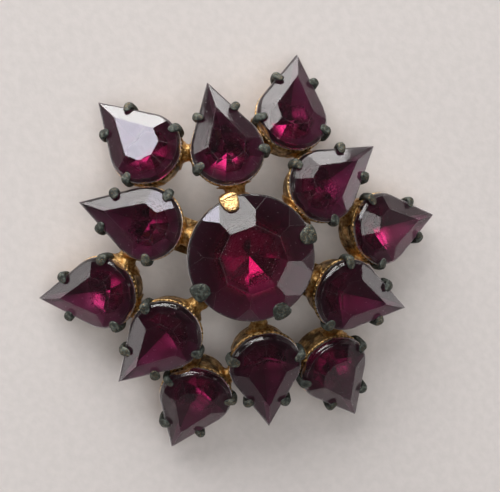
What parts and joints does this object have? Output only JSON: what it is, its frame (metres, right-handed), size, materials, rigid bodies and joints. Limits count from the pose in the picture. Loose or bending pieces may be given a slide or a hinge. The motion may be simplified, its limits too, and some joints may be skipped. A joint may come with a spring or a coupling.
{
  "type": "brooch",
  "caption": "Domed flower-shaped brooch: claw-set faceted plum glass stones in gilt cups, with a hinged pin and a roll-over safety catch on its back.",
  "frame": {"origin": "under the middle of the brooch, at the height of the surface that it lies on", "axes": "+Z out of the face with the stones, +Y towards the top of the brooch as it is worn"},
  "size_m": [0.0514, 0.0522, 0.0142],
  "materials": {
    "gilt_brass": "worn antique gilding, satin",
    "plum_glass": "polished, foil-backed",
    "pin_steel": "drawn wire, satin"
  },
  "bodies": {
    "brooch": {"centre_cup": "gilt_brass", "inner_1_cup": "gilt_brass", "outer_1_cup": "gilt_brass", "inner_2_cup": "gilt_brass", "outer_2_cup": "gilt_brass", "inner_3_cup": "gilt_brass", "outer_3_cup": "gilt_brass", "inner_4_cup": "gilt_brass", "outer_4_cup": "gilt_brass", "inner_5_cup": "gilt_brass", "outer_5_cup": "gilt_brass", "inner_6_cup": "gilt_brass", "outer_6_cup": "gilt_brass", "centre_stone": "plum_glass", "inner_1_stone": "plum_glass", "outer_1_stone": "plum_glass", "inner_2_stone": "plum_glass", "outer_2_stone": "plum_glass", "inner_3_stone": "plum_glass", "outer_3_stone": "plum_glass", "inner_4_stone": "plum_glass", "outer_4_stone": "plum_glass", "inner_5_stone": "plum_glass", "outer_5_stone": "plum_glass", "inner_6_stone": "plum_glass", "outer_6_stone": "plum_glass", "pin_bar": "gilt_brass", "hinge_rivet": "pin_steel", "catch_hook": "gilt_brass"},
    "pin": {"pin_stem": "pin_steel"},
    "sleeve": {"catch_sleeve": "gilt_brass"}
  },
  "joints": [
    {"name": "pin_hinge", "type": "hinge", "parent": "brooch", "child": "pin", "pos_m": [-0.01113, 0.00343, 0.00195], "axis": [0.2964, 0.9551, 0], "range_deg": [0, 110]},
    {"name": "sleeve_turn", "type": "hinge", "parent": "brooch", "child": "sleeve", "pos_m": [0.01121, -0.00351, 0.00195], "axis": [-0.9551, 0.2964, 0], "range_deg": [0, 90]}
  ]
}
